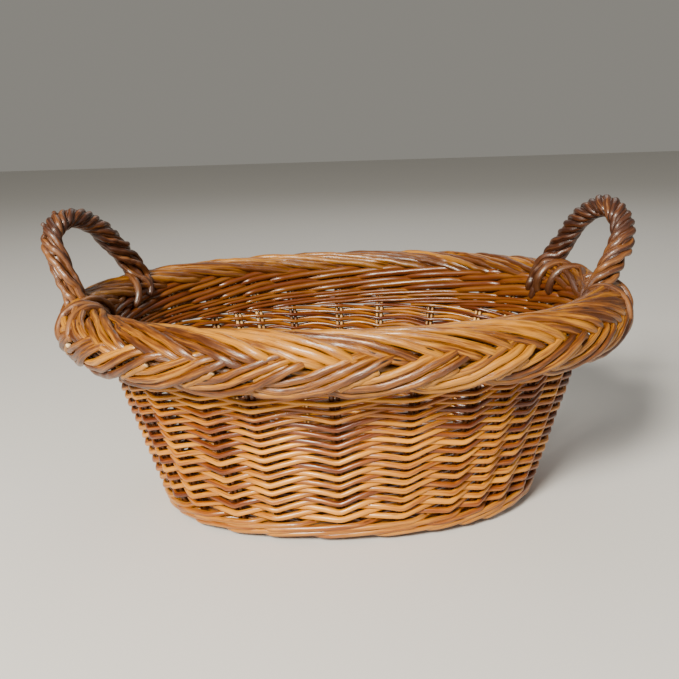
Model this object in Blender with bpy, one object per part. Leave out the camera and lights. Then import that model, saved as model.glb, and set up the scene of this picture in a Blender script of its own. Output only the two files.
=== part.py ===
"""Woven wicker basket: an oval willow basket with a plaited border and two roped handles.

Metres, +Z up. Origin: centre of the underside. +X runs from end to end, through the
two handles. Every rod that can be told apart is its own object; rods that are woven
into each other are one closed solid of the true outer shape, with the channels that
the rods running through them need.
"""
import bpy
import bmesh
from math import cos, sin, pi, radians, atan2, sqrt
from mathutils import Vector, Matrix

# ---------------------------------------------------------------- driving dimensions
BASE_A, BASE_B, BASE_N = 0.1700, 0.1220, 2.25   # underside oval: half axes, superellipse power
RIM_A, RIM_B, RIM_N = 0.2246, 0.1743, 2.10      # same, outer face of the wall at RIM_Z
RIM_Z = 0.1820                                  # top of the woven wall
WALL_T = 0.0115                                 # wall thickness: stake plus a weaver each side
UPSETT_Z = 0.0220                               # top of the three-rod wale at the foot
SIDING_Z = 0.1580                               # top of the siding, under the top wale
GAP = 0.0003                                    # clearance between touching rods

STAKES = 28                                     # pairs of upright stakes
STAKE_W, STAKE_T = 0.0086, 0.0044               # a pair side by side: width along the wall, thickness
STAKE_TOP = 0.1900

BRAID_PERIODS = 8                               # waves of each strand round the rim
BRAID_CR, BRAID_CZ = -0.0026, 0.1705             # centre of the roll: out from the wall face, and height
BRAID_R = 0.0265                                # radius of the roll the plait lies on
BRAID_MID = radians(15.0)                       # middle of the plait round the roll, from horizontal
BRAID_U, BRAID_V = 0.0200, 0.0058               # strand swing across the plait and through it
STRAND_W, STRAND_T = 0.0160, 0.0070             # a strand's width and thickness

LONG_STICKS = (-0.0120, 0.0, 0.0120)            # y of the three sticks along the base
CROSS_STICKS = (-0.105, -0.070, -0.035, 0.0, 0.035, 0.070, 0.105)   # x of the seven slit sticks
LONG_R, CROSS_R = 0.0030, 0.0044
STICK_Z = 0.0085
BASE_Z0, BASE_Z1 = 0.0022, 0.0148               # underside and upper side of the base weave

BOW_R = 0.0037                                  # the handle's bow rod
WRAP_R = 0.0034                                 # rods roped round the bow
WRAP_N, WRAP_TURNS = 4, 2.0
BOW_FOOT_Z = 0.1000                             # how deep the bow's ends go down beside the stakes

# ---------------------------------------------------------------- scene
for obj in list(bpy.data.objects):
    bpy.data.objects.remove(obj, do_unlink=True)

basket = bpy.data.collections.new("woven_wicker_basket")
bpy.context.scene.collection.children.link(basket)
cutters = bpy.data.collections.new("cutters")
bpy.context.scene.collection.children.link(cutters)


def willow(name, color, roughness):
    mat = bpy.data.materials.new(name)
    mat.use_nodes = True
    bsdf = mat.node_tree.nodes["Principled BSDF"]
    bsdf.inputs["Base Color"].default_value = (*color, 1.0)
    bsdf.inputs["Roughness"].default_value = roughness
    bsdf.inputs["Metallic"].default_value = 0.0
    return mat


WEAVER = willow("varnished_weavers", (0.56, 0.27, 0.07), 0.32)
STAKE = willow("varnished_stakes", (0.60, 0.33, 0.11), 0.35)
BORDER = willow("varnished_border_rods", (0.42, 0.20, 0.06), 0.34)
HANDLE = willow("varnished_handle_rods", (0.27, 0.13, 0.05), 0.38)
STICK = willow("base_sticks", (0.50, 0.30, 0.13), 0.50)


# ---------------------------------------------------------------- the oval
def oval(phi, a, b, n):
    """Point of a superellipse in the direction phi."""
    r = (abs(cos(phi) / a) ** n + abs(sin(phi) / b) ** n) ** (-1.0 / n)
    return Vector((r * cos(phi), r * sin(phi), 0.0))


def oval_table(a, b, n, steps=1440):
    """Length of the oval up to each of a table of directions."""
    total, table = 0.0, [0.0]
    last = oval(0.0, a, b, n)
    for i in range(1, steps + 1):
        p = oval(2 * pi * i / steps, a, b, n)
        total += (p - last).length
        table.append(total)
        last = p
    return table


TABLE = oval_table((BASE_A + RIM_A) / 2, (BASE_B + RIM_B) / 2, (BASE_N + RIM_N) / 2)


def direction(u):
    """Direction at the fraction u of the way round, by length along the wall."""
    s = (u % 1.0) * TABLE[-1]
    lo, hi = 0, len(TABLE) - 1
    while hi - lo > 1:
        mid = (lo + hi) // 2
        if TABLE[mid] <= s:
            lo = mid
        else:
            hi = mid
    f = (s - TABLE[lo]) / (TABLE[hi] - TABLE[lo])
    return 2 * pi * (lo + f) / (len(TABLE) - 1)


def normal(phi):
    """Horizontal outward normal of the rim oval at phi."""
    d = 1e-3
    t = oval(phi + d, RIM_A, RIM_B, RIM_N) - oval(phi - d, RIM_A, RIM_B, RIM_N)
    return Vector((t.y, -t.x, 0.0)).normalized()


def wall(phi, z, out=0.0):
    """Point of the wall's outer face at height z, moved outward by out."""
    f = z / RIM_Z
    p = oval(phi, BASE_A, BASE_B, BASE_N).lerp(oval(phi, RIM_A, RIM_B, RIM_N), f)
    p += normal(phi) * out
    p.z = z
    return p


# ---------------------------------------------------------------- builders
def finish(obj, mat, collection=basket, smooth=True):
    obj.data.materials.clear()
    obj.data.materials.append(mat)
    for c in list(obj.users_collection):
        c.objects.unlink(obj)
    collection.objects.link(obj)
    if smooth:
        obj.data.shade_smooth()
        obj.data.set_sharp_from_angle(angle=radians(40))
    return obj


def as_cutter(obj):
    obj.hide_render = True
    obj.display_type = "WIRE"
    for c in list(obj.users_collection):
        c.objects.unlink(obj)
    cutters.objects.link(obj)
    return obj


def loft(name, rings, mat, closed, collection=basket):
    """Solid between sections of equal point counts, closed into a loop or capped."""
    bm = bmesh.new()
    rows = [[bm.verts.new(p) for p in ring] for ring in rings]
    count, m = len(rows), len(rows[0])
    for i in range(count if closed else count - 1):
        a, b = rows[i], rows[(i + 1) % count]
        for j in range(m):
            k = (j + 1) % m
            bm.faces.new((a[j], b[j], b[k], a[k]))
    if not closed:
        bm.faces.new(rows[0])
        bm.faces.new(list(reversed(rows[-1])))
    bmesh.ops.recalc_face_normals(bm, faces=bm.faces)
    mesh = bpy.data.meshes.new(name)
    bm.to_mesh(mesh)
    bm.free()
    obj = bpy.data.objects.new(name, mesh)
    collection.objects.link(obj)
    return finish(obj, mat, collection)


def wall_ring(name, levels, mat, segments=60):
    """A band of the wall: the same section all round the oval."""
    rings = []
    for i in range(segments):
        phi = direction(i / segments)
        outer = [wall(phi, z, 0.0) for z in levels]
        inner = [wall(phi, z, -WALL_T) for z in reversed(levels)]
        rings.append(outer + inner)
    return loft(name, rings, mat, closed=True)


def cylinder_between(name, p0, p1, radius, sides, mat, collection=basket):
    axis = p1 - p0
    bpy.ops.mesh.primitive_cylinder_add(vertices=sides, radius=radius, depth=axis.length)
    obj = bpy.context.active_object
    obj.name = name
    obj.data.name = name
    obj.location = (p0 + p1) / 2
    obj.rotation_euler = axis.to_track_quat("Z", "Y").to_euler()
    return finish(obj, mat, collection)


def rod(name, points, radius, mat, resolution=2, collection=basket):
    """A round rod along a poly line, with filled ends."""
    curve = bpy.data.curves.new(name, "CURVE")
    curve.dimensions = "3D"
    curve.bevel_depth = radius
    curve.bevel_resolution = resolution
    curve.use_fill_caps = True
    spline = curve.splines.new("POLY")
    spline.points.add(len(points) - 1)
    for p, q in zip(spline.points, points):
        p.co = (*q, 1.0)
    curve.materials.append(mat)
    obj = bpy.data.objects.new(name, curve)
    collection.objects.link(obj)
    return obj


def to_mesh(obj):
    """The rod as a welded mesh, so that it can cut."""
    deps = bpy.context.evaluated_depsgraph_get()
    mesh = bpy.data.meshes.new_from_object(obj.evaluated_get(deps))
    bm = bmesh.new()
    bm.from_mesh(mesh)
    bmesh.ops.remove_doubles(bm, verts=bm.verts, dist=1e-6)
    bmesh.ops.recalc_face_normals(bm, faces=bm.faces)
    bm.to_mesh(mesh)
    bm.free()
    new = bpy.data.objects.new(obj.name + "_mesh", mesh)
    new.matrix_world = obj.matrix_world
    bpy.context.scene.collection.objects.link(new)
    bpy.data.objects.remove(obj, do_unlink=True)
    return new


def cut(target, tools):
    """Cut each tool out of the target, one exact Boolean each."""
    for tool in tools:
        mod = target.modifiers.new(tool.name, "BOOLEAN")
        mod.operation = "DIFFERENCE"
        mod.solver = "EXACT"
        mod.object = tool


# ---------------------------------------------------------------- stakes
def stake_pair(name, phi, z0, z1, grow, mat, collection=basket):
    """Two stakes side by side, as one straight flattened rod on the wall's middle."""
    p0, p1 = wall(phi, z0, -WALL_T / 2), wall(phi, z1, -WALL_T / 2)
    axis = (p1 - p0).normalized()
    out = normal(phi)
    side = out.cross(axis).normalized()
    out = axis.cross(side).normalized()
    bpy.ops.mesh.primitive_cylinder_add(vertices=8, radius=1.0, depth=1.0)
    obj = bpy.context.active_object
    obj.name = name
    obj.data.name = name
    rot = Matrix((side, out, axis)).transposed().to_4x4()
    scale = Matrix.Diagonal((STAKE_W / 2 + grow, STAKE_T / 2 + grow, (p1 - p0).length, 1.0))
    obj.data.transform(rot @ scale)
    obj.location = (p0 + p1) / 2
    return finish(obj, mat, collection)


# Fractions of the way round from the right end: wider apart along the front and back, as they stand by hand.
STAKE_U = [0.0179, 0.0536, 0.0893, 0.1200, 0.1671, 0.2159, 0.2539, 0.2976, 0.3301, 0.3505, 0.3740, 0.4107, 0.4464,
           0.4821, 0.5179, 0.5536, 0.5810, 0.6085, 0.6515, 0.6868, 0.7416, 0.7930, 0.8343, 0.8612, 0.8851, 0.9155,
           0.9464, 0.9821]
STAKE_DIRS = [direction(u) for u in STAKE_U]
for i, phi in enumerate(STAKE_DIRS):
    stake_pair("stake_pair_%02d" % (i + 1), phi, 0.0050, STAKE_TOP, 0.0, STAKE)

stake_cuts = [as_cutter(stake_pair("stake_channel_%02d" % (i + 1), phi, 0.0050 - GAP,
                                   STAKE_TOP + 0.01, GAP, STAKE, cutters))
              for i, phi in enumerate(STAKE_DIRS)]

# ---------------------------------------------------------------- handle bows
FOOT_FRONT, FOOT_BACK = -1.0 / STAKES, 2.0 / STAKES   # between stakes, front and back of the end
BOW_TOP = [                                           # crown of the bow: out, along, up
    (0.2370, -0.0380, 0.2210), (0.2475, -0.0280, 0.2420), (0.2520, -0.0040, 0.2545),
    (0.2495, 0.0240, 0.2560), (0.2410, 0.0500, 0.2475), (0.2290, 0.0690, 0.2310)]


def smooth_path(points, step):
    """Catmull-Rom curve through the points, with a point about every step."""
    pts = [Vector(p) for p in points]
    pts = [pts[0] * 2 - pts[1]] + pts + [pts[-1] * 2 - pts[-2]]
    out = []
    for i in range(1, len(pts) - 2):
        p0, p1, p2, p3 = pts[i - 1:i + 3]
        n = max(1, round((p2 - p1).length / step))
        for k in range(n):
            t = k / n
            out.append(0.5 * ((2 * p1) + (p2 - p0) * t + (2 * p0 - 5 * p1 + 4 * p2 - p3) * t * t
                              + (3 * p1 - p0 - 3 * p2 + p3) * t ** 3))
    out.append(pts[-2])
    return out


def bow_path(side):
    f, b = direction(FOOT_FRONT), direction(FOOT_BACK)
    mid = -WALL_T / 2
    path = [wall(f, BOW_FOOT_Z, mid), wall(f, 0.1860, mid), wall(f, 0.2000, mid)]
    path += [Vector(p) for p in BOW_TOP]
    path += [wall(b, 0.2000, mid), wall(b, 0.1860, mid), wall(b, BOW_FOOT_Z, mid)]
    straight = [path[0]]
    path = straight + smooth_path(path[1:-1], 0.011) + [path[-1]]
    return [Vector((side * p.x, p.y, p.z)) for p in path]


def wrap_paths(bow, side):
    """Rods roped round the crown of the bow, equally spaced."""
    crown = [p for p in bow if p.z > 0.2165]
    dense = smooth_path(crown, 0.0035)
    length = [0.0]
    for a, b in zip(dense, dense[1:]):
        length.append(length[-1] + (b - a).length)
    radius = BOW_R + WRAP_R + 0.00045
    paths = [[] for _ in range(WRAP_N)]
    t = (dense[1] - dense[0]).normalized()
    ref = t.cross(Vector((side, 0, 0))).normalized()
    samples = 22
    for k in range(samples):
        s = length[-1] * k / (samples - 1)
        i = max(j for j in range(len(length)) if length[j] <= s + 1e-9)
        i = min(i, len(dense) - 2)
        f = (s - length[i]) / (length[i + 1] - length[i])
        p = dense[i].lerp(dense[i + 1], f)
        j = min(max(i, 1), len(dense) - 2)
        t = (dense[j + 1] - dense[j - 1]).normalized()
        ref = (ref - t * ref.dot(t)).normalized()
        other = t.cross(ref)
        for w in range(WRAP_N):
            ang = side * 2 * pi * (WRAP_TURNS * k / (samples - 1)) + 2 * pi * w / WRAP_N
            paths[w].append(p + ref * (cos(ang) * radius) + other * (sin(ang) * radius))
    return paths


bow_cuts = []
for side, label in ((-1, "left"), (1, "right")):
    path = bow_path(side)
    rod(label + "_handle_bow", path, BOW_R, HANDLE)
    for end, low, high in (("front", path[0], path[1]), ("back", path[-1], path[-2])):
        axis = (high - low).normalized()
        tool = cylinder_between("%s_%s_foot_channel" % (label, end), low - axis * GAP,
                                high + axis * 0.004, BOW_R + GAP + 0.0002, 12, HANDLE, cutters)
        bow_cuts.append(as_cutter(tool))
    for w, pts in enumerate(wrap_paths(path, side)):
        rod("%s_handle_wrap_%s" % (label, "abcd"[w]), pts, WRAP_R, HANDLE, resolution=1)

# ---------------------------------------------------------------- wall bands
upsett = wall_ring("upsett_wale", [0.0, UPSETT_Z / 2, UPSETT_Z], WEAVER)
siding = wall_ring("side_weave", [UPSETT_Z + GAP, 0.064, 0.106, SIDING_Z - GAP], WEAVER)
top = wall_ring("top_wale", [SIDING_Z, RIM_Z], WEAVER)
cut(upsett, stake_cuts)
cut(siding, stake_cuts + bow_cuts)
cut(top, stake_cuts + bow_cuts)


# ---------------------------------------------------------------- plaited border
def braid_strand(name, phase, mat, per_period=11):
    steps = BRAID_PERIODS * per_period
    line, frames = [], []
    for i in range(steps):
        u = i / steps
        phi = direction(u)
        wave = 2 * pi * BRAID_PERIODS * u + phase
        across, through = BRAID_U * sin(wave), BRAID_V * sin(2 * wave)
        ang = BRAID_MID + across / BRAID_R
        out, r = normal(phi), BRAID_R + through
        centre = wall(phi, RIM_Z, BRAID_CR)
        centre.z = BRAID_CZ
        line.append(centre + out * (cos(ang) * r) + Vector((0, 0, sin(ang) * r)))
        frames.append(out * cos(ang) + Vector((0, 0, sin(ang))))
    rings = []
    for i in range(steps):
        t = (line[(i + 1) % steps] - line[i - 1]).normalized()
        side = t.cross(frames[i]).normalized()
        face = side.cross(t).normalized()
        rings.append([line[i] + side * (cos(a) * STRAND_W / 2) + face * (sin(a) * STRAND_T / 2)
                      for a in (2 * pi * (k + 0.5) / 8 for k in range(8))])
    return loft(name, rings, mat, closed=True)


for k in range(3):
    braid_strand("border_strand_" + "abc"[k], 2 * pi * k / 3, BORDER)

# ---------------------------------------------------------------- base
INSET = WALL_T + GAP


def base_edge(phi, extra=0.0):
    return wall(phi, 0.0, -INSET - extra)


long_parts, long_cuts, cross_parts, cross_cuts = [], [], [], []
for i, y in enumerate(LONG_STICKS):
    reach = max(p.x for p in (base_edge(atan2(y, x)) for x in (0.150,))) - 0.0030
    a, b = Vector((-reach, y, STICK_Z)), Vector((reach, y, STICK_Z))
    cylinder_between("base_long_stick_%d" % (i + 1), a, b, LONG_R, 12, STICK)
    far = Vector((0.03, 0, 0))
    long_cuts.append(as_cutter(cylinder_between("long_channel_%d" % (i + 1), a - far, b + far,
                                                LONG_R + GAP, 12, STICK, cutters)))
for i, x in enumerate(CROSS_STICKS):
    phi = pi / 2
    for _ in range(20):                       # direction in which the edge stands at this x
        p = base_edge(phi)
        phi += (p.x - x) / max(p.y, 0.02)
    reach = base_edge(phi).y - 0.0030
    a, b = Vector((x, -reach, STICK_Z)), Vector((x, reach, STICK_Z))
    stick = cylinder_between("base_cross_stick_%d" % (i + 1), a, b, CROSS_R, 12, STICK)
    half = LONG_STICKS[-1] + LONG_R + GAP
    bpy.ops.mesh.primitive_cube_add(size=1.0, location=(x, 0.0, STICK_Z))
    slit = bpy.context.active_object
    slit.name = "slit_%d" % (i + 1)
    slit.data.transform(Matrix.Diagonal((0.03, 2 * half, 2 * (LONG_R + GAP), 1.0)))
    as_cutter(slit)
    cut(stick, [slit])
    far = Vector((0, 0.03, 0))
    cross_cuts.append(as_cutter(cylinder_between("cross_channel_%d" % (i + 1), a - far, b + far,
                                                 CROSS_R + GAP, 12, STICK, cutters)))

plate = []
for z, extra in ((BASE_Z0, 0.0), (BASE_Z1, 0.0)):
    plate.append([wall(direction(i / 56), z, -INSET - extra) for i in range(56)])
base = loft("base_weave", plate, WEAVER, closed=False)
cut(base, long_cuts + cross_cuts)
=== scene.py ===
"""Woven wicker basket: every rod of the weave, the plaited border and the roped handles."""

from math import cos, sin, pi, radians

import bpy
import numpy as np
from mathutils import Matrix, Vector


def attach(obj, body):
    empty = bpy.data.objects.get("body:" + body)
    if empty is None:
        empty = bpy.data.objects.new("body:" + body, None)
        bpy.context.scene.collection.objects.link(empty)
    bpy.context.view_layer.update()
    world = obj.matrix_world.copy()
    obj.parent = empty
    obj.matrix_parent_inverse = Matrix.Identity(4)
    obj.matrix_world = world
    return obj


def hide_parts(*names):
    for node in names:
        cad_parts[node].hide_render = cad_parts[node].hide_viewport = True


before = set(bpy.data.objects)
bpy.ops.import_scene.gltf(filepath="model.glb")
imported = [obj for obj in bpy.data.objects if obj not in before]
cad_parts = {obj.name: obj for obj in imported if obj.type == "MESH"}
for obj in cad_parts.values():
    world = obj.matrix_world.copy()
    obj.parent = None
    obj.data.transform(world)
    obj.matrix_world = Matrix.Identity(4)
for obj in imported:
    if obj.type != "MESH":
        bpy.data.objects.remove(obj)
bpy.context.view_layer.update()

# ------------------------------------------------------------------ the basket's own numbers
BASE_A, BASE_B, BASE_N = 0.1700, 0.1220, 2.25
RIM_A, RIM_B, RIM_N = 0.2246, 0.1743, 2.10
RIM_Z = 0.1820
WALL_T = 0.0115
MID = -WALL_T / 2
STAKES = 28
# Fractions of the way round from the right end: wider apart along the front and back, as they stand by hand.
STAKE_U = [0.0179, 0.0536, 0.0893, 0.1200, 0.1671, 0.2159, 0.2539, 0.2976, 0.3301, 0.3505, 0.3740, 0.4107, 0.4464,
           0.4821, 0.5179, 0.5536, 0.5810, 0.6085, 0.6515, 0.6868, 0.7416, 0.7930, 0.8343, 0.8612, 0.8851, 0.9155,
           0.9464, 0.9821]
LEAN = 0.29       # the wall's slope outwards: rods on the outside of it lie that much lower
ROLL_OUT, ROLL_Z, ROLL_R = 0.0050, 0.1700, 0.0175   # middle line of the border's roll

rng = np.random.default_rng(7)


def oval_r(phi, a, b, n):
    return (np.abs(np.cos(phi) / a) ** n + np.abs(np.sin(phi) / b) ** n) ** (-1.0 / n)


def oval(phi, a, b, n):
    r = oval_r(phi, a, b, n)
    return np.stack([r * np.cos(phi), r * np.sin(phi)], -1)


_phi = np.linspace(0, 2 * pi, 2881)
_p = oval(_phi, (BASE_A + RIM_A) / 2, (BASE_B + RIM_B) / 2, (BASE_N + RIM_N) / 2)
_s = np.concatenate([[0], np.cumsum(np.linalg.norm(np.diff(_p, axis=0), axis=1))])
_s /= _s[-1]


def direction(u):
    """Direction at the fraction u of the way round, by length along the wall."""
    u = np.asarray(u, float)
    turn = np.floor(u)
    return np.interp(u - turn, _s, _phi) + 2 * pi * turn


def normal2(phi):
    d = 1e-3
    t = oval(phi + d, RIM_A, RIM_B, RIM_N) - oval(phi - d, RIM_A, RIM_B, RIM_N)
    n = np.stack([t[..., 1], -t[..., 0]], -1)
    return n / np.linalg.norm(n, axis=-1, keepdims=True)


_su = np.concatenate([np.array(STAKE_U) - 1, STAKE_U, np.array(STAKE_U) + 1, np.array(STAKE_U) + 2, [STAKE_U[0] + 3]])


def stake_u(x):
    """Fraction of the way round at stake x, counted from the first one."""
    x = np.asarray(x, float)
    return np.mean([np.interp(x + d, np.arange(-STAKES, 3 * STAKES + 1), _su) for d in (-0.12, 0.0, 0.12)], axis=0)


def stake_gap(x):
    """Distance between stakes there, against the mean."""
    return (stake_u(np.asarray(x) + 0.5) - stake_u(np.asarray(x) - 0.5)) * STAKES


def woven(u, z, out):
    """Points of the wall for a rod that lies out from its middle, square to its slope."""
    return wall(u, z - (np.asarray(out) - MID) * LEAN, out)


def wall(u, z, out):
    """Points of the wall at heights z, moved out from its outer face."""
    u, z, out = np.broadcast_arrays(np.asarray(u, float), z, out)
    phi = direction(u)
    f = (z / RIM_Z)[..., None]
    p = oval(phi, BASE_A, BASE_B, BASE_N) * (1 - f) + oval(phi, RIM_A, RIM_B, RIM_N) * f
    p = p + normal2(phi) * out[..., None]
    return np.concatenate([p, z[..., None]], -1)


def roll(u, ang, r):
    """Points on the roll of the border: ang round it from the outside, r from its middle."""
    u, ang, r = np.broadcast_arrays(np.asarray(u, float), ang, r)
    phi = direction(u)
    c = oval(phi, RIM_A, RIM_B, RIM_N) + normal2(phi) * (ROLL_OUT + np.cos(ang) * r)[..., None]
    return np.concatenate([c, (ROLL_Z + np.sin(ang) * r)[..., None]], -1)


ROLL_L = float(np.sum(np.linalg.norm(np.diff(roll(np.linspace(0, 1, 721), 0.35, ROLL_R), axis=0), axis=1)))


# ------------------------------------------------------------------ rods
def painted_shade_round(u):
    """Painted shade round the basket: a little lighter at the front, darker along the back and at both ends, most at
    the right end.
    """
    u = np.asarray(u, float) % 1
    c, s = np.cos(2 * pi * u), np.sin(2 * pi * u)
    return 0.05 - 0.30 * np.clip(c, 0, 1) ** 3 - 0.17 * np.clip(-c, 0, 1) ** 3 - 0.16 * np.clip(s, 0, 1)


def wobble(n, amp, waves, seed):
    """Smooth noise along a rod."""
    g = np.random.default_rng(seed)
    t = np.linspace(0, 1, n)
    out = np.zeros(n)
    for k in range(1, 5):
        out += np.sin(2 * pi * (t * waves * k * g.uniform(0.7, 1.3) + g.random())) / k
    return out * amp / 1.6


class Rods:
    """Many round rods in one mesh, each with its own tone and its own lengthwise UVs."""

    def __init__(self, name, sides=10):
        self.name, self.sides = name, sides
        self.v, self.f, self.uv, self.col, self.n = [], [], [], [], 0

    def add(self, pts, radius, tone=None, cav=None, closed=False, seed=0, flat=None, ends=(0.0, 0.0),
            rough=0.035, cut=0.0):
        """flat=(direction array, ratio): squash the section along a direction."""
        pts = np.asarray(pts, float)
        n, m = len(pts), self.sides
        g = np.random.default_rng(seed * 7919 + 13)
        radius = np.broadcast_to(np.asarray(radius, float), (n,)).copy()
        seg = np.linalg.norm(np.diff(pts, axis=0), axis=1)
        along = np.concatenate([[0], np.cumsum(seg)])
        if rough:
            radius *= 1 + rough * np.interp(along, np.arange(0, along[-1] + 0.02, 0.006),
                                            g.normal(0, 1, len(np.arange(0, along[-1] + 0.02, 0.006))))
        for end, taper in enumerate(ends):
            if taper > 0:
                d = along if end == 0 else along[-1] - along
                radius *= np.clip(0.35 + 0.65 * np.sqrt(np.clip(d / taper, 0, 1)), 0, 1)
        if closed:
            t = np.roll(pts, -1, 0) - np.roll(pts, 1, 0)
        else:
            t = np.gradient(pts, axis=0)
        t /= np.linalg.norm(t, axis=1, keepdims=True)
        ref = np.array([0, 0, 1.0]) if abs(t[0][2]) < 0.9 else np.array([1.0, 0, 0])
        a = ref - t[0] * ref.dot(t[0])
        a /= np.linalg.norm(a)
        A = np.empty_like(pts)
        for i in range(n):
            a = a - t[i] * a.dot(t[i])
            a /= np.linalg.norm(a)
            A[i] = a
        B = np.cross(t, A)
        th = np.arange(m) * 2 * pi / m
        ring = pts[:, None] + radius[:, None, None] * (A[:, None] * np.cos(th)[None, :, None]
                                                       + B[:, None] * np.sin(th)[None, :, None])
        if flat is not None:
            d, ratio = flat
            off = ring - pts[:, None]
            ring = ring - d[:, None] * ((off * d[:, None]).sum(-1, keepdims=True) * (1 - ratio))
        base = self.n
        self.v.append(ring.reshape(-1, 3))
        rows = n if closed else n - 1
        i = np.arange(rows)[:, None] * m
        j = np.arange(m)[None, :]
        k = (j + 1) % m
        i2 = ((np.arange(rows) + 1) % n)[:, None] * m
        quad = np.stack([i + j, i + k, i2 + k, i2 + j], -1).reshape(-1, 4) + base
        self.f.append(quad)
        u0 = np.broadcast_to(along[:rows, None], (rows, m))
        step = seg if not closed else np.concatenate([seg, [np.linalg.norm(pts[0] - pts[-1])]])
        u1 = u0 + step[:rows, None]
        v0 = np.broadcast_to(j / m, (rows, m))
        v1 = v0 + 1.0 / m
        self.uv.append(np.stack([np.stack([u0, v0], -1), np.stack([u0, v1], -1),
                                 np.stack([u1, v1], -1), np.stack([u1, v0], -1)], 2).reshape(-1, 2))
        tone = np.broadcast_to(np.asarray(g.random() if tone is None else tone, float), (n,))
        # cav: painted shade at each point along the rod, kept in the colour's blue channel
        cav = np.zeros(n) if cav is None else np.broadcast_to(cav, (n,))
        col = np.empty((n, m, 4))
        col[..., 0] = tone[:, None]
        col[..., 1] = g.random()
        col[..., 2] = np.clip(cav, 0, 1)[:, None]
        col[..., 3] = 0
        self.col.append(col.reshape(-1, 4))
        self.n += n * m
        if not closed:
            for end in (0, 1):
                centre = pts[0] if end == 0 else pts[-1]
                row = ring[0] if end == 0 else ring[-1]
                sgn = -1 if end == 0 else 1
                tip = t[0] if end == 0 else t[-1]
                r = radius[0] if end == 0 else radius[-1]
                inner = centre + (row - centre) * 0.72 + tip * (sgn * 0.22 * r)
                vs = np.concatenate([inner, [centre + tip * (sgn * 0.26 * r)]])
                b = self.n
                self.v.append(vs)
                c = np.empty((m + 1, 4))
                # cap colour: the rod's mean tone, a middle seed, some painted crevice shade, and the cut flag
                c[:, 0], c[:, 1], c[:, 2], c[:, 3] = tone.mean(), 0.5, 0.3, cut
                self.col.append(c)
                start = base if end == 0 else base + (n - 1) * m
                jj = np.arange(m)
                kk = (jj + 1) % m
                if end == 0:
                    q = np.stack([start + kk, start + jj, b + jj, b + kk], -1)
                else:
                    q = np.stack([start + jj, start + kk, b + kk, b + jj], -1)
                tri = (np.stack([b + kk, b + jj, np.full(m, b + m)], -1) if end == 0
                       else np.stack([b + jj, b + kk, np.full(m, b + m)], -1))
                self.f.append(q)
                self.uv.append(np.tile([[0.0, 0.0], [0.0, 1.0 / m], [0.001, 1.0 / m], [0.001, 0.0]], (m, 1)))
                self.f.append(tri)
                self.uv.append(np.tile([[0.0, 0.0], [0.0, 1.0 / m], [0.001, 0.0]], (m, 1)))
                self.n += m + 1

    def build(self, mat, replaces=()):
        verts = np.concatenate(self.v)
        phi = np.arctan2(verts[:, 1], verts[:, 0])
        f = np.clip(verts[:, 2] / RIM_Z, 0, 1.05)
        edge = oval_r(phi, BASE_A, BASE_B, BASE_N) * (1 - f) + oval_r(phi, RIM_A, RIM_B, RIM_N) * f
        # inner: how far a point lies inside the middle of the wall, fading out near the top of the border; the
        # materials paint shade with it on the inside (partly darker old varnish) and on the stakes' outer side
        deep = edge + MID - np.hypot(verts[:, 0], verts[:, 1])
        inner = np.clip((deep + 0.001) / 0.006, 0, 1) * np.clip((0.2000 - verts[:, 2]) / 0.020, 0, 1)
        sizes = np.concatenate([np.full(len(f), f.shape[1]) for f in self.f])
        loops = np.concatenate([f.reshape(-1) for f in self.f])
        uv = np.concatenate(self.uv)
        me = bpy.data.meshes.new(self.name)
        me.vertices.add(len(verts))
        me.vertices.foreach_set("co", verts.astype(np.float32).reshape(-1))
        me.loops.add(len(loops))
        me.loops.foreach_set("vertex_index", loops.astype(np.int32))
        me.polygons.add(len(sizes))
        me.polygons.foreach_set("loop_start", np.concatenate([[0], np.cumsum(sizes)[:-1]]).astype(np.int32))
        me.polygons.foreach_set("loop_total", sizes.astype(np.int32))
        me.update(calc_edges=True)
        layer = me.uv_layers.new(name="UVMap")
        layer.data.foreach_set("uv", uv.astype(np.float32).reshape(-1))
        col = me.color_attributes.new("rod", "FLOAT_COLOR", "POINT")
        col.data.foreach_set("color", np.concatenate(self.col).astype(np.float32).reshape(-1))
        # the inside depth, for the painted inside shade
        shade_depth_node = me.attributes.new("inner", "FLOAT", "POINT")
        shade_depth_node.data.foreach_set("value", inner.astype(np.float32))
        me.polygons.foreach_set("use_smooth", np.ones(len(sizes), bool))
        me.validate()
        me.update()
        me.materials.append(mat)
        obj = bpy.data.objects.new(self.name, me)
        bpy.context.scene.collection.objects.link(obj)
        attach(obj, "root")
        if replaces:
            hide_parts(*replaces)
        return obj


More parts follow.
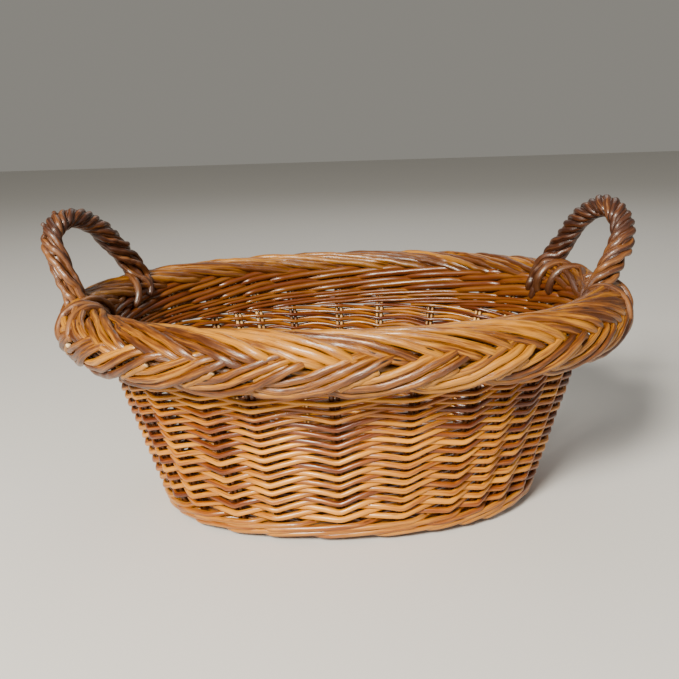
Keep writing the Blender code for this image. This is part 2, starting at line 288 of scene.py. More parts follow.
# ------------------------------------------------------------------ materials
def willow(name, light, mid, dark, deep, roughness=0.34, coat=0.45, streak=1.0, knots=1.0, bump=0.35, shade_outside=False):
    """Varnished willow: lengthwise streaks, mottling and knots, with painted shade between the rods and on the inside.
    """
    mat = bpy.data.materials.new(name)
    mat.use_nodes = True
    nt = mat.node_tree
    nodes, links = nt.nodes, nt.links
    bsdf = nodes["Principled BSDF"]
    bsdf.inputs["Coat Weight"].default_value = coat
    bsdf.inputs["Coat Roughness"].default_value = 0.16
    bsdf.inputs["Coat IOR"].default_value = 1.5
    bsdf.inputs["Coat Tint"].default_value = (1.0, 0.93, 0.80, 1.0)
    bsdf.inputs["IOR"].default_value = 1.5

    def new(kind, **kw):
        nd = nodes.new(kind)
        for k, v in kw.items():
            setattr(nd, k, v)
        return nd

    def math(op, a, b=None, c=None, clamp=False):
        nd = new("ShaderNodeMath", operation=op)
        nd.use_clamp = clamp
        for i, x in enumerate((a, b, c)):
            if x is None:
                continue
            if isinstance(x, (int, float)):
                nd.inputs[i].default_value = x
            else:
                links.new(x, nd.inputs[i])
        return nd.outputs[0]

    def mix(fac, a, b, blend="MIX"):
        nd = new("ShaderNodeMix", data_type="RGBA", blend_type=blend)
        for sock, x in ((nd.inputs["Factor"], fac), (nd.inputs[6], a), (nd.inputs[7], b)):
            if isinstance(x, (int, float)):
                sock.default_value = x
            elif isinstance(x, tuple):
                sock.default_value = (*x, 1.0)
            else:
                links.new(x, sock)
        return nd.outputs[2]

    uvn = new("ShaderNodeUVMap", uv_map="UVMap")
    sep = new("ShaderNodeSeparateXYZ")
    links.new(uvn.outputs[0], sep.inputs[0])
    along, around = sep.outputs[0], sep.outputs[1]
    # rod colour: own tone, seed, painted crevice shade; alpha marks cut tips
    att = new("ShaderNodeAttribute", attribute_name="rod")
    rod = new("ShaderNodeSeparateColor")
    links.new(att.outputs["Color"], rod.inputs[0])
    tone, seed, cav = rod.outputs[0], rod.outputs[1], rod.outputs[2]

    ang = math("MULTIPLY", around, 2 * pi)
    cx, cy = math("COSINE", ang), math("SINE", ang)

    def coords(round_scale, long_scale):
        comb = new("ShaderNodeCombineXYZ")
        links.new(math("MULTIPLY", cx, round_scale), comb.inputs[0])
        links.new(math("MULTIPLY", cy, round_scale), comb.inputs[1])
        links.new(math("ADD", math("MULTIPLY", along, long_scale), math("MULTIPLY", seed, 91.7)), comb.inputs[2])
        return comb.outputs[0]

    def noise(vec, scale, detail=3.0, rough=0.55):
        nd = new("ShaderNodeTexNoise")
        nd.inputs["Scale"].default_value = scale
        nd.inputs["Detail"].default_value = detail
        nd.inputs["Roughness"].default_value = rough
        links.new(vec, nd.inputs["Vector"])
        return nd.outputs["Fac"]

    def ramp(fac, stops):
        nd = new("ShaderNodeValToRGB")
        els = nd.color_ramp.elements
        while len(els) < len(stops):
            els.new(0.5)
        for e, (p, c) in zip(els, stops):
            e.position = p
            e.color = (c, c, c, 1) if isinstance(c, (int, float)) else (*c, 1)
        links.new(fac, nd.inputs[0])
        return nd.outputs[0]

    streaks = noise(coords(2.6, 38.0), 1.0, 4.0, 0.62)          # fine lines along the rod
    broad = noise(coords(0.7, 22.0), 1.0, 2.0, 0.5)             # slow changes along it
    fine = noise(coords(5.5, 160.0), 1.0, 3.0, 0.6)             # speckle
    # tone of this place: rod's own tone, streaks and broad mottling
    t1 = math("MULTIPLY_ADD", math("SUBTRACT", streaks, 0.5), 1.15 * streak, tone)
    t2 = math("MULTIPLY_ADD", math("SUBTRACT", broad, 0.5), 1.25, t1)
    t3 = math("MULTIPLY_ADD", math("SUBTRACT", fine, 0.5), 0.35, t2, clamp=True)
    base = ramp(t3, [(0.0, dark), (0.38, mid), (0.74, light), (1.0, tuple(min(1, c * 1.18) for c in light))])
    # thin dark cracks in the varnish, running with the grain
    crack = ramp(noise(coords(3.2, 7.0), 1.0, 2.0, 0.5), [(0.0, 0.0), (0.465, 0.0), (0.490, 1.0), (0.515, 0.0)])
    base = mix(math("MULTIPLY", crack, 0.75 * max(0.0, streak - 1.0), clamp=True), base, deep)
    # knots and bark specks
    vor = new("ShaderNodeTexVoronoi", feature="F1")
    vor.inputs["Scale"].default_value = 1.0
    vor.inputs["Randomness"].default_value = 1.0
    links.new(coords(0.9, 55.0), vor.inputs["Vector"])
    speck = ramp(vor.outputs["Distance"], [(0.0, 1.0), (0.13, 0.75), (0.2, 0.0)])
    pick = ramp(noise(coords(0.5, 14.0), 1.0, 1.0), [(0.0, 0.0), (0.52, 0.0), (0.62, 1.0)])
    knot = math("MULTIPLY", math("MULTIPLY", speck, pick), 0.75 * knots, clamp=True)
    col = mix(knot, base, deep)
    # painted shade between the rods, where they lie behind or under each other; the surface is also made rougher there
    crevice_shade_mask = math("MULTIPLY", math("POWER", cav, 1.4), math("MULTIPLY_ADD", broad, 0.9, 0.42), clamp=True)
    col = mix(crevice_shade_mask, col, deep)
    # inside the wall's middle the rods get painted shade, partly darker old varnish; stakes instead get painted shade
    # on their outer side and stay pale on the inner side; cut tips are pale
    shade_depth_node = new("ShaderNodeAttribute", attribute_name="inner")
    if shade_outside:
        col = mix(ramp(shade_depth_node.outputs["Fac"], [(0.42, 1.0), (0.60, 0.0)]), col, dark)
    else:
        col = mix(math("MULTIPLY", shade_depth_node.outputs["Fac"], 0.72), col, dark)
    col = mix(math("MULTIPLY", att.outputs["Alpha"], 0.85), col, (0.90, 0.70, 0.42))
    links.new(col, bsdf.inputs["Base Color"])

    r1 = math("MULTIPLY_ADD", streaks, 0.22, roughness - 0.10)
    r2 = math("MULTIPLY_ADD", crevice_shade_mask, 0.18, r1, clamp=True)
    links.new(r2, bsdf.inputs["Roughness"])

    bmp = new("ShaderNodeBump")
    bmp.inputs["Strength"].default_value = bump
    bmp.inputs["Distance"].default_value = 0.0006
    h = math("ADD", math("MULTIPLY", streaks, 1.0), math("MULTIPLY", fine, 0.45))
    h = math("SUBTRACT", h, math("MULTIPLY", knot, 0.5))
    links.new(h, bmp.inputs["Height"])
    links.new(bmp.outputs[0], bsdf.inputs["Normal"])
    return mat


SIDING = willow("siding_willow", (0.60, 0.235, 0.010), (0.275, 0.070, 0.002), (0.088, 0.014, 0.001), (0.020, 0.0035, 0.0005),
                roughness=0.30, coat=0.35)
WALE = willow("wale_willow", (0.44, 0.172, 0.013), (0.24, 0.062, 0.003), (0.095, 0.019, 0.002), (0.022, 0.005, 0.001),
              roughness=0.32, coat=0.28)
# stakes: pale on the inner side, painted shade on the outer side where they stand in the gaps between rods
STAKE = willow("stake_willow", (0.84, 0.52, 0.20), (0.60, 0.31, 0.09), (0.09, 0.025, 0.004), (0.04, 0.010, 0.002),
               shade_outside=True)
BORDER = willow("border_willow", (0.43, 0.172, 0.008), (0.20, 0.060, 0.0025), (0.068, 0.016, 0.001), (0.015, 0.0035, 0.0005),
                roughness=0.33, coat=0.25, streak=1.8, knots=2.2, bump=0.8)
HANDLE = willow("handle_willow", (0.225, 0.083, 0.018), (0.086, 0.024, 0.006), (0.032, 0.008, 0.003), (0.010, 0.003, 0.0015),
                roughness=0.38, coat=0.25, streak=1.6, knots=1.6, bump=0.9)
BASE = willow("base_willow", (0.46, 0.21, 0.04), (0.30, 0.11, 0.016), (0.16, 0.045, 0.006), (0.04, 0.012, 0.003),
              roughness=0.45, coat=0.2)


# ------------------------------------------------------------------ siding: French rand
def siding():
    passes, per = 30, 16
    z0, z1 = 0.0220, 0.1385
    steps = np.linspace(0.00440, 0.00345, passes)
    level = z0 + np.concatenate([[0], np.cumsum(steps)]) * (z1 - z0) / steps.sum()
    gap = np.gradient(level)
    groups = [Rods("siding_weavers_" + c) for c in "abcd"]
    lean = np.random.default_rng(5).normal(0, 0.0005, STAKES)
    for k in range(STAKES):
        g = np.random.default_rng(100 + k)
        t = np.arange(-0.42, passes + 0.40, 1.0 / per)
        ti = np.clip(t, 0, passes)
        z = np.interp(ti, np.arange(passes + 1), level) + np.clip(t, None, 0) * 0.0026
        c = -np.cos(pi * t)
        s = np.arcsin(0.985 * c) / np.arcsin(0.985)
        wide = np.clip(stake_gap(k + t), 0.6, 1.6)
        # each rod dips where it bends round a stake, and the rods close up as they cross between two
        dip = np.sqrt(np.sin(pi * t) ** 2 + 0.012) - 0.55
        rise = 0.0022 * wide ** 2 * np.clip(ti / 3, 0, 1) * np.clip((passes - ti) / 5, 0.15, 1)
        z = z + dip * rise
        r = np.interp(ti, np.arange(passes + 1), gap) * 0.535 * g.uniform(0.95, 1.06)
        out = MID + s * (0.0026 + r) + wobble(len(t), 0.00022, 11, 300 + k)
        z = z + wobble(len(t), 0.00030, 9, 200 + k)
        z = z + np.interp((k + t) % STAKES, np.arange(STAKES + 1), np.append(lean, lean[0]))
        # painted shade where the rod crosses the middle of the wall between stakes, and more where it passes behind
        cav = 0.30 * np.exp(-(s / 0.30) ** 2) + np.where(s < -0.3, 0.30, 0.0)
        # each rod's own random tone, with painted shade round the basket added
        tone = np.clip(g.normal(0.54, 0.20) + painted_shade_round(stake_u(k + t)), 0.05, 0.98)
        groups[k % 4].add(woven(stake_u(k + t), z, out), r, tone=tone, cav=cav, seed=k + 1, ends=(0.0, 0.02))
    for i, grp in enumerate(groups):
        grp.build(SIDING, ("side_weave",) if i == 0 else ())


# ------------------------------------------------------------------ waling
def waling(name, rings, r0, front, back, lift, seed, replaces=(), per=10, mat=None, tone=0.55, gap=0.0019):
    """Rods that each pass in front of some stakes and behind others, rising outside and falling inside.
    rings: (height at the start, height at the end, rounds)."""
    grp = Rods(name, 12)
    m = front + back
    xs = np.linspace(0, m, 400, endpoint=False)
    mid_in, mid_out = (back - 1) / 2, back - 0.5 + front / 2
    # -1 behind, 1 in front
    sw = np.where((xs < back - 0.5) | (xs >= m - 0.5), -1.0, 1.0)
    zw = np.interp(xs, [0, back - 0.5, m - 0.5, m], [1 - 1.0 / back, -1, 1, 1 - 1.0 / back])
    ker = np.exp(-0.5 * (np.arange(-60, 61) / (400 / m * 0.16)) ** 2)
    ker /= ker.sum()
    sw = np.convolve(np.concatenate([sw[-60:], sw, sw[:60]]), ker, "valid")
    zw = np.convolve(np.concatenate([zw[-60:], zw, zw[:60]]), ker, "valid")
    xs, sw, zw = np.append(xs, m), np.append(sw, sw[0]), np.append(zw, zw[0])
    for ring, (za, zb, rounds) in enumerate(rings):
        total = int(round(STAKES * rounds))
        for k in range(m):
            g = np.random.default_rng(seed + k + 50 * ring)
            a0 = 0
            while a0 < total:
                b0 = min(total, a0 + m * int(g.integers(3, 6)))      # pieced: each rod runs part of the way round
                if total - b0 < m:
                    b0 = total
                t = np.arange(a0 - 0.55, b0 + 0.45, 1.0 / per)
                s = np.interp(t % m, xs, sw)
                n = len(t)
                r = r0 * np.linspace(1.08, 0.90, n) * g.uniform(0.95, 1.05)
                z = za + (zb - za) * np.clip(t / total, -0.01, 1.01) + np.interp(t % m, xs, zw) * lift
                z = z + wobble(n, 0.0003, 6, seed + 17 * a0 + k)
                # painted shade where the rod crosses the middle of the wall, and more where it passes behind the stakes
                cav = 0.45 * np.exp(-(s / 0.4) ** 2) + np.where(s < -0.3, 0.20, 0)
                grp.add(woven(stake_u(k + t + ring), z, MID + s * (gap + r)), r,
                        tone=np.clip(g.normal(tone, 0.15), 0.1, 0.95), cav=cav, seed=seed + a0 * 3 + k, ends=(0.0, 0.03))
                a0 = b0
    return grp.build(mat or WALE, replaces)


# ------------------------------------------------------------------ stakes
def stakes():
    grp = Rods("stakes_and_by_stakes", 10)
    for j in range(STAKES):
        for side in (-1, 1):
            g = np.random.default_rng(900 + j * 2 + side)
            du = side * 0.00225 / (ROLL_L * 0.82)
            u = STAKE_U[j] + du
            k = np.linspace(0, 1, 8)
            foot_out = MID - 0.050 * (1 - k[:-1]) - 0.004
            foot = wall(np.full(7, u), np.full(7, 0.0092), foot_out)
            z = np.linspace(0.0150, 0.1840, 40)
            up = wall(np.full(40, u) + side * 0.00005 * np.sin(z * 60 + j), z,
                      MID + 0.0004 * np.sin(z * 45 + j * 2.1))
            bend = wall(np.full(3, u), np.array([0.0096, 0.0108, 0.0128]), np.array([MID - 0.0026, MID - 0.0012, MID - 0.0004]))
            pts = np.concatenate([foot, bend, up])
            # slight painted crevice shade on the stakes
            grp.add(pts, 0.00205 * g.uniform(0.93, 1.06), tone=np.clip(g.normal(0.66, 0.12), 0.2, 1), cav=0.05, seed=950 + j * 2 + side)
    return grp.build(STAKE, tuple("stake_pair_%02d" % (i + 1) for i in range(STAKES)))


# ------------------------------------------------------------------ plaited border
# Where each of the 28 strands ends on the outside, as a fraction of the way round: hand spacing.
NOTCH = np.concatenate([[0.628, 0.674, 0.712, 0.753, 0.796, 0.834, 0.871],
                        np.linspace(0.871, 1.125, 9)[1:-1],
                        [1.125, 1.156, 1.185, 1.226, 1.274, 1.312, 1.353, 1.395, 1.428],
                        np.linspace(1.428, 1.628, 7)[1:-1]])
UNITS = len(NOTCH)
_kn = np.concatenate([NOTCH - 1, NOTCH, NOTCH + 1, [NOTCH[0] + 2]])


def place(q):
    """Fraction round the rim at q strands along, with the joins between spacings eased."""
    q = np.asarray(q, float)
    return np.mean([np.interp(q + d, np.arange(-UNITS, 2 * UNITS + 1), _kn) for d in np.linspace(-0.6, 0.6, 7)], axis=0)


# One strand, from where it leaves the wall inside, over the crest, down the outside, under the lip and up again.
_q = np.linspace(-4.6, 3.4, 1601)
_kq = [-4.6, -4.0, -3.5, -3.0, -2.5, -2.0, -1.6, -1.2, -0.85, -0.39, 0.0, 0.4, 0.8, 1.1, 1.4, 1.75, 2.05, 2.35, 2.7, 3.0, 3.4]
_ka = [160, 150, 140, 130, 117, 103, 91, 75, 58, 30, 3, -25, -42, -43, -32, -7, 14, 33, 52, 64, 72]
_g = np.exp(-0.5 * (np.arange(-90, 91) / 26.0) ** 2)
_g /= _g.sum()
_ang = np.convolve(np.pad(np.interp(_q, _kq, _ka), 90, mode="reflect", reflect_type="odd"), _g, "valid")
LANE = 16.8       # degrees round the roll from rod to rod
OVER = 0.0031     # how far a strand lies out over, or in under, the middle of the roll
TILT = 0.0013     # how far each strand laps over its neighbour


def step(x, at, width):
    return 0.5 + 0.5 * np.tanh((x - at) / width * 1.6)


def strand_rod(k, lane, q, seed):
    """Centre line of one rod of strand k, at the places q along it."""
    g = np.random.default_rng(seed)
    n = len(q)
    ang = np.interp(q, _q, _ang) + lane * LANE * (1 - 0.25 * step(q, 2.2, 0.5)) + g.normal(0, 1.2) + wobble(n, 2.0, 5, seed + 1)
    u_end = -0.22 + 0.14 * lane + g.normal(0, 0.03)
    l_end = 2.26 - 0.10 * lane + g.normal(0, 0.04)
    side = (-1.0 + 2.0 * step(q, -3.45, 0.45) - 2.0 * step(q, u_end, 0.17) + 2.0 * step(q, 0.70, 0.22)
            - 2.0 * step(q, l_end, 0.17))
    over = step(q, -3.2, 0.5) * (1 - step(q, 0.35, 0.3))     # on the way down its upper rod laps over
    up = step(q, 0.45, 0.3)                                  # on the way up its lower rod does
    t = OVER * side + TILT * lane * (over - up) + wobble(n, 0.00035, 5, seed + 2)
    t = t - 0.0030 * (1 - step(q, -3.9, 0.3))
    q2 = q + lane * 0.045 * np.where(q < 0.9, 1.0, -1.0) * np.tanh(np.abs(q - 0.9) * 2)
    pts = roll(place(k + q2), np.radians(ang), ROLL_R + t)
    return pts, t


def border():
    groups = [Rods("border_strand_rods_" + c, 12) for c in "abc"]
    for k in range(UNITS):
        for lane in (1, 0, -1):
            seed = 2000 + k * 10 + lane
            g = np.random.default_rng(seed)
            q0 = (-4.15 + g.uniform(-0.1, 0.1)) if lane >= 0 else -1.50 + g.uniform(-0.08, 0.08)
            q1 = 2.85 + g.uniform(-0.15, 0.1)
            q = np.arange(q0, q1, 0.068)
            n = len(q)
            pts, t = strand_rod(k, lane, q, seed)
            if lane < 0:
                # the third rod of the strand comes out from under its neighbour
                f = np.clip((q - q0) / 0.45, 0, 1)[:, None]
                phi = direction(place(k + q))
                inward = np.concatenate([-normal2(phi), np.zeros((n, 1))], 1)
                pts = pts + inward * (1 - f) ** 2 * 0.004
            r = np.interp(np.linspace(0, 1, n), [0, 0.5, 1], [0.00325, 0.00345, 0.00290]) * g.uniform(0.92, 1.08)
            # painted shade, more where the rod lies in under its neighbours, none where it lies over them
            cav = np.clip(0.28 - t / 0.0055, 0.0, 0.85)
            # each rod's own random tone, with painted shade round the basket added; the third rod is a little darker
            groups[k % 3].add(pts, r, tone=np.clip(g.normal(0.50, 0.20) + painted_shade_round(place(k + q)) - (0.16 if lane == -1 else 0.0), 0.05, 0.95), cav=cav, seed=seed, rough=0.05)
        # cut tips that show at the foot of some strands
        g = np.random.default_rng(5000 + k)
        for lane in (0, -1):
            if g.random() < 0.6:
                q = np.linspace(1.75, 2.20 + g.uniform(-0.06, 0.05), 9)
                pts, t = strand_rod(k, lane - 0.55, q, 2000 + k * 10 + lane)
                phi = direction(place(k + q))
                n2 = np.concatenate([normal2(phi), np.zeros((len(q), 1))], 1)
                pts = pts - n2 * 0.0022 - np.array([0, 0, 0.0012])
                # a little painted crevice shade on the cut tips
                groups[k % 3].add(pts, 0.0024, tone=0.75, cav=0.3, seed=6000 + k * 3 + lane, cut=1.0)
    for grp, c in zip(groups, "abc"):
        grp.build(BORDER, ("border_strand_" + c,))


# ------------------------------------------------------------------ handles
# Middle of each rope, front foot to back foot; the left one is written as if it were on the right and mirrored.
ROPES = {
    "left": dict(
        line=[(0.2265, -0.0400, 0.172), (0.2310, -0.0370, 0.192), (0.2405, -0.0330, 0.216), (0.2515, -0.0215, 0.2430),
              (0.2500, -0.0010, 0.2560), (0.2405, 0.0190, 0.2570), (0.2305, 0.0385, 0.2480), (0.2215, 0.0560, 0.2310),
              (0.2125, 0.0700, 0.2110), (0.2030, 0.0760, 0.1930), (0.1965, 0.0745, 0.1760), (0.1950, 0.0735, 0.1590)],
        rods=5, r=0.0030, f=[0, 0.20, 0.31, 0.56, 0.68, 1.0], pitch=[0.20, 0.14, 0.046, 0.050, 0.085, 0.12],
        fan=[0.10, 0.25, 0.0, 0.0, 0.85, 0.45]),
    "right": dict(
        line=[(0.2150, -0.0440, 0.170), (0.2180, -0.0410, 0.189), (0.2300, -0.0350, 0.2070), (0.2430, -0.0230, 0.2280),
              (0.2475, -0.0040, 0.2450), (0.2425, 0.0160, 0.2535), (0.2340, 0.0360, 0.2490), (0.2265, 0.0520, 0.2370),
              (0.2200, 0.0660, 0.2200), (0.2125, 0.0750, 0.2030), (0.2020, 0.0745, 0.1880), (0.1960, 0.0715, 0.1730),
              (0.1950, 0.0705, 0.1590)],
        rods=5, r=0.0034, f=[0, 0.12, 0.30, 0.62, 0.76, 1.0], pitch=[0.085, 0.065, 0.052, 0.046, 0.062, 0.11],
        fan=[0.10, 0.10, 0.18, 0.0, 0.25, 0.70]),
}


def catmull(points, step):
    p = np.asarray(points, float)
    p = np.vstack([2 * p[0] - p[1], p, 2 * p[-1] - p[-2]])
    out = []
    for i in range(1, len(p) - 2):
        p0, p1, p2, p3 = p[i - 1:i + 3]
        n = max(2, int(round(np.linalg.norm(p2 - p1) / step)))
        for k in range(n):
            t = k / n
            out.append(0.5 * (2 * p1 + (p2 - p0) * t + (2 * p0 - 5 * p1 + 4 * p2 - p3) * t * t
                              + (3 * p1 - p0 - 3 * p2 + p3) * t ** 3))
    out.append(p[-2])
    return np.array(out)


def rim_at(x, y):
    """Fraction round the rim nearest to a place."""
    us = np.linspace(0, 1, 1441)[:-1]
    c = roll(us, 0.0, 0.0)
    return us[np.argmin((c[:, 0] - x) ** 2 + (c[:, 1] - y) ** 2)]


def over_border(u, drift, a0, a1, lift, n=44):
    """A rod laid over the plait, from the angle a0 outside to a1 inside, its ends tucked into it."""
    t = np.linspace(0, 1, n)
    ang = np.radians(a0 + (a1 - a0) * t)
    tuck = np.sin(pi * np.clip(t, 0, 1)) ** 0.55
    return roll(u + drift * (t - 0.5), ang, ROLL_R + 0.0015 + lift * tuck)


def handle(label, side):
    spec = ROPES[label]
    line = catmull(spec["line"], 0.0030)
    mirror = np.array([side, 1, 1])
    bow_r = 0.0042
    n = 300
    seg = np.linalg.norm(np.diff(line, axis=0), axis=1)
    L = np.concatenate([[0], np.cumsum(seg)])
    ss = np.linspace(0, L[-1], n)
    P = np.stack([np.interp(ss, L, line[:, i]) for i in range(3)], 1)
    grp = Rods(label + "_handle_bow_rod", 14)
    f = ss / L[-1]
    shade = np.interp(f, [0, 0.18, 0.34, 0.66, 0.85, 1], [0.72, 0.55, 0.28, 0.22, 0.42, 0.52])
    keep = f < 0.90
    # a little painted crevice shade on the bow rod
    grp.add((P * mirror)[keep], bow_r, tone=shade[keep], cav=0.15, seed=70 + side, rough=0.06)
    grp.build(HANDLE, (label + "_handle_bow",))
    T = np.gradient(P, axis=0)
    T /= np.linalg.norm(T, axis=1, keepdims=True)
    a = np.cross(T[0], [1.0, 0, 0])
    A = np.empty_like(P)
    for i in range(n):
        a = a - T[i] * a.dot(T[i])
        a /= np.linalg.norm(a)
        A[i] = a
    B = np.cross(T, A)
    ds = ss[1] - ss[0]
    turns = np.cumsum(ds / np.interp(f, spec["f"], spec["pitch"]))
    fan = np.interp(f, spec["f"], spec["fan"])
    groups = [Rods("%s_handle_roping_%s" % (label, c), 11) for c in "abcd"]
    for w in range(spec["rods"]):
        seed = 3000 + w * 10 + (50 if side > 0 else 0)
        g = np.random.default_rng(seed)
        ang = (2 * pi * turns + 2 * pi * w / spec["rods"] + wobble(n, 0.20, 6, seed + 3)
               + fan * g.uniform(-0.7, 0.7))
        rad = (bow_r + spec["r"] * 0.74) * (1 + fan * g.uniform(0.1, 0.65)) + wobble(n, 0.00055, 8, seed + 4)
        rr = spec["r"] * np.interp(f, [0, 0.3, 0.7, 1], [1.12, 1.0, 0.97, 1.08]) * g.uniform(0.88, 1.12)
        pts = P + A * (np.cos(ang) * rad)[:, None] + B * (np.sin(ang) * rad)[:, None]
        grp = groups[min(w, 3)]
        last = g.uniform(0.93, 1.0)
        ok = f <= last
        # painted crevice shade on the rope rods
        grp.add((pts * mirror)[ok], rr[ok], tone=np.clip(shade + g.normal(0, 0.09), 0.05, 0.95)[ok], cav=0.22, seed=seed,
                rough=0.08)
        # a thinner one runs alongside over the crown
        r2 = spec["r"] * 0.62
        ang2 = ang + 2 * pi * 0.5 / spec["rods"]
        rad2 = bow_r + r2 * 0.9 + fan * 0.002
        pts2 = P + A * (np.cos(ang2) * rad2)[:, None] + B * (np.sin(ang2) * rad2)[:, None]
        lo, hi = (0.16, 0.78) if w % 2 else (0.24, 0.90)
        ok = (f > lo) & (f < hi)
        # more painted crevice shade on this thinner rod, which lies in the rope's groove
        grp.add((pts2 * mirror)[ok], r2, tone=np.clip(shade + g.normal(-0.05, 0.1), 0.05, 0.95)[ok], cav=0.45,
                seed=seed + 5, rough=0.08, ends=(0.01, 0.01))
    # rods turned over the plait at the feet
    front, back = spec["line"][1], spec["line"][8]
    uf, ub = rim_at(front[0] * side, front[1]), rim_at(back[0] * side, back[1])
    way = 1.0 if side > 0 else -1.0          # towards the back of the basket, round the rim
    if label == "left":
        laps = [(uf - way * 0.022, -0.004, -12, 152, 0.0052, 0.0036, 0.62), (uf - way * 0.036, -0.022, 8, 158, 0.0050, 0.0033, 0.70),
                (uf + way * 0.012, 0.012, -8, 140, 0.0044, 0.0032, 0.58), (uf - way * 0.004, -0.05, 60, 176, 0.0075, 0.0026, 0.80),
                (ub - way * 0.006, 0.020, 70, 186, 0.0060, 0.0038, 0.62), (ub + way * 0.014, 0.016, 55, 172, 0.0050, 0.0032, 0.50)]
    else:
        laps = [(ub + way * 0.004, 0.012, 62, 190, 0.0068, 0.0042, 0.60), (ub - way * 0.013, 0.012, 58, 188, 0.0058, 0.0038, 0.50),
                (uf - way * 0.014, 0.028, -5, 150, 0.0052, 0.0034, 0.55), (uf + way * 0.016, 0.018, -15, 150, 0.0048, 0.0036, 0.70),
                (uf + way * 0.032, 0.012, 0, 142, 0.0046, 0.0032, 0.45)]
    for i, (u, drift, a0, a1, lift, r, tone) in enumerate(laps):
        pts = over_border(u, drift, a0, a1, lift)
        # painted crevice shade on the rods turned over the plait
        groups[i % 4].add(pts, r, tone=tone, cav=0.2, seed=3500 + i + (50 if side > 0 else 0), rough=0.07, ends=(0.004, 0.004))
    # cut ends left standing out of the rope
    g = np.random.default_rng(88 + side)
    for i, (at, turn) in enumerate([(0.30, 3.4), (0.345, 3.9), (0.40, 3.2), (0.47, 4.1)] if label == "left" else
                                   [(0.30, 0.3), (0.37, 0.0), (0.44, -0.3), (0.50, 0.6)]):
        k = int(at * n)
        d = A[k] * np.cos(turn) + B[k] * np.sin(turn)
        base_pt = P[k] + d * 0.0045
        tip = base_pt + d * 0.0062 + T[k] * g.uniform(-0.004, 0.004)
        # painted crevice shade on the cut ends
        groups[3].add(np.linspace(base_pt, tip, 5) * mirror, 0.0019, tone=0.35, cav=0.3, seed=3700 + i, cut=0.0)
    for grp, c in zip(groups, "abcd"):
        grp.build(HANDLE, ("%s_handle_wrap_%s" % (label, c),))


# ------------------------------------------------------------------ base
def base():
    zc = 0.0085
    half = 0.048
    sticks = Rods("base_sticks_rods", 12)
    for i, x in enumerate(np.linspace(-half, half, 7)):
        y = np.linspace(-1, 1, 24) * (0.110 - 0.02 * abs(x) / half * 0.1)
        pts = np.stack([np.full(24, x), y, np.full(24, zc)], 1)
        sticks.add(pts, 0.0042, tone=0.5 + 0.1 * sin(i * 3), seed=400 + i)
    for end in (-1, 1):
        for i, deg in enumerate((-60, -30, 0, 30, 60)):
            a = radians(deg)
            reach = 0.108
            start = np.array([end * (half - 0.012), 0.010 * (i - 2), zc])
            k = np.linspace(0, 1, 18)[:, None]
            tip = np.array([end * (half + cos(a) * reach), sin(a) * reach, zc])
            mid = np.array([end * (half + 0.012), 0.012 * (i - 2), zc])
            pts = (1 - k) ** 2 * start + 2 * k * (1 - k) * mid + k ** 2 * tip
            sticks.add(pts, 0.0030, tone=0.5, seed=430 + i + end)
    sticks.build(BASE, tuple("base_long_stick_%d" % i for i in (1, 2, 3))
                 + tuple("base_cross_stick_%d" % i for i in range(1, 8)))
    rings = Rods("base_weavers", 8)
    e, k = 0.0065, 0
    while e < 0.1085:
        g = np.random.default_rng(500 + k)
        r = np.interp(e, [0, 0.11], [0.0014, 0.0021])
        n_end, n_str = 60, 44
        # one ring: front straight, right end, back straight, left end
        x0 = np.linspace(-half, half, n_str, endpoint=False)
        th = np.linspace(-pi / 2, pi / 2, n_end, endpoint=False)
        xs = np.concatenate([x0, half + e * np.cos(th), -x0, -half - e * np.cos(th)])
        ys = np.concatenate([np.full(n_str, -e), e * np.sin(th), np.full(n_str, e), -e * np.sin(th)])
        sg = np.concatenate([(x0 + half) / (2 * half) * 6, 6 + (th + pi / 2) / pi * 6,
                             12 + (x0 + half) / (2 * half) * 6, 18 + (th + pi / 2) / pi * 6])
        # ease from the stadium to the oval of the foot
        f = (e / 0.1085) ** 2
        ph = np.arctan2(ys, xs)
        ov = oval(ph, BASE_A - WALL_T - 0.0022, BASE_B - WALL_T - 0.0022, BASE_N)
        xs, ys = xs * (1 - f) + ov[:, 0] * f, ys * (1 - f) + ov[:, 1] * f
        z = zc + np.cos(pi * (sg + k)) * (0.0024 + r) + wobble(len(xs), 0.0002, 4, 600 + k)
        # painted shade on the base weave, more where each ring crosses between over and under the sticks
        cav = 0.25 + 0.35 * np.exp(-(np.cos(pi * (sg + k)) / 0.4) ** 2)
        rings.add(np.stack([xs, ys, z], 1), r, tone=np.clip(g.normal(0.5, 0.15), 0.1, 0.9), cav=cav, closed=True, seed=650 + k, rough=0.02)
        e += 2 * r * 0.98
        k += 1
    rings.build(BASE, ("base_weave",))


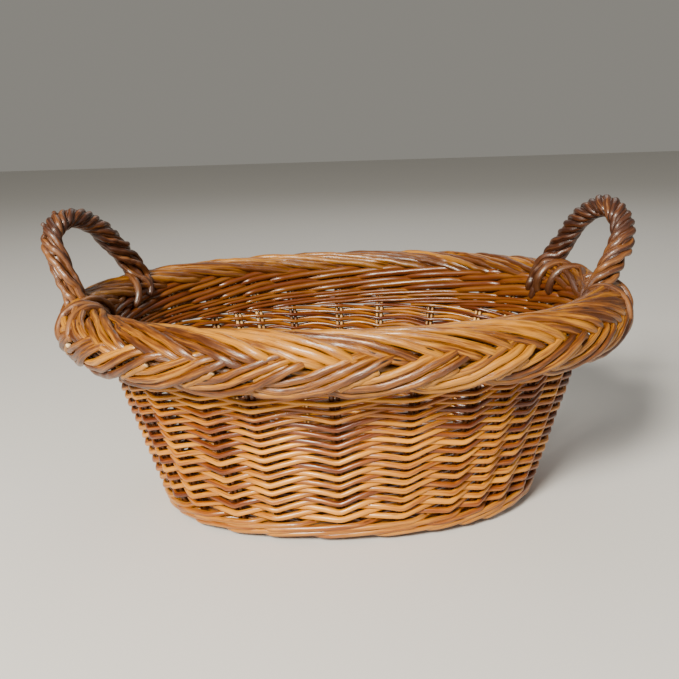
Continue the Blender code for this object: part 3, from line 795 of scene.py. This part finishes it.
siding()
waling("foot_wale_rods", [(0.0066, 0.0172, 2.0)], 0.0024, 2, 1, 0.0036, 7000, ("upsett_wale",))
waling("collar_wale_rods", [(0.1440, 0.1440, 1.0), (0.1514, 0.1514, 1.0)], 0.0018, 2, 2, 0.0031, 7050, gap=0.0018)
waling("rim_wale_rods", [(0.1615, 0.1615, 1.0), (0.1735, 0.1735, 1.0)], 0.0031, 2, 2, 0.0052, 7200, ("top_wale",),
       tone=0.42)
stakes()
border()
handle("left", -1)
handle("right", 1)
base()

# ------------------------------------------------------------------ stage, light, camera
bpy.ops.mesh.primitive_plane_add(size=14.0, location=(0, 0, 0))
floor = bpy.context.active_object
floor.name = "floor"
fmat = bpy.data.materials.new("floor")
fmat.use_nodes = True
fb = fmat.node_tree.nodes["Principled BSDF"]
fb.inputs["Base Color"].default_value = (0.66, 0.645, 0.62, 1)
fb.inputs["Roughness"].default_value = 0.85
floor.data.materials.append(fmat)

world = bpy.data.worlds.new("studio")
world.use_nodes = True
world.node_tree.nodes["Background"].inputs[0].default_value = (0.82, 0.785, 0.70, 1)
world.node_tree.nodes["Background"].inputs[1].default_value = 0.31
bpy.context.scene.world = world


def area(name, loc, target, size, power, color=(1, 1, 1)):
    data = bpy.data.lights.new(name, "AREA")
    data.size = size
    data.energy = power
    data.color = color
    obj = bpy.data.objects.new(name, data)
    obj.location = loc
    obj.rotation_euler = (Vector(target) - Vector(loc)).to_track_quat("-Z", "Y").to_euler()
    bpy.context.scene.collection.objects.link(obj)


area("key", (-0.75, -1.65, 1.35), (0, 0, 0.1), 0.50, 120, (1.0, 0.950, 0.84))
area("fill", (1.6, -1.0, 0.9), (0, 0, 0.1), 1.4, 4, (0.95, 0.97, 1.0))
area("back", (0.3, 1.7, 1.9), (0, 0, 0.15), 1.4, 11, (1.0, 0.98, 0.95))

EL, DIST, ROLL = radians(14.8), 0.753, radians(1.75)
cam = bpy.data.cameras.new("camera")
cam.sensor_width = 36.0
cam.lens = 43.2
cam.dof.use_dof = False
cobj = bpy.data.objects.new("camera", cam)
cobj.matrix_world = (Matrix.Translation((-0.005, -DIST * cos(EL), 0.1405 + DIST * sin(EL)))
                     @ Matrix.Rotation(pi / 2 - EL, 4, "X") @ Matrix.Rotation(-ROLL, 4, "Z"))
bpy.context.scene.collection.objects.link(cobj)
bpy.context.scene.camera = cobj
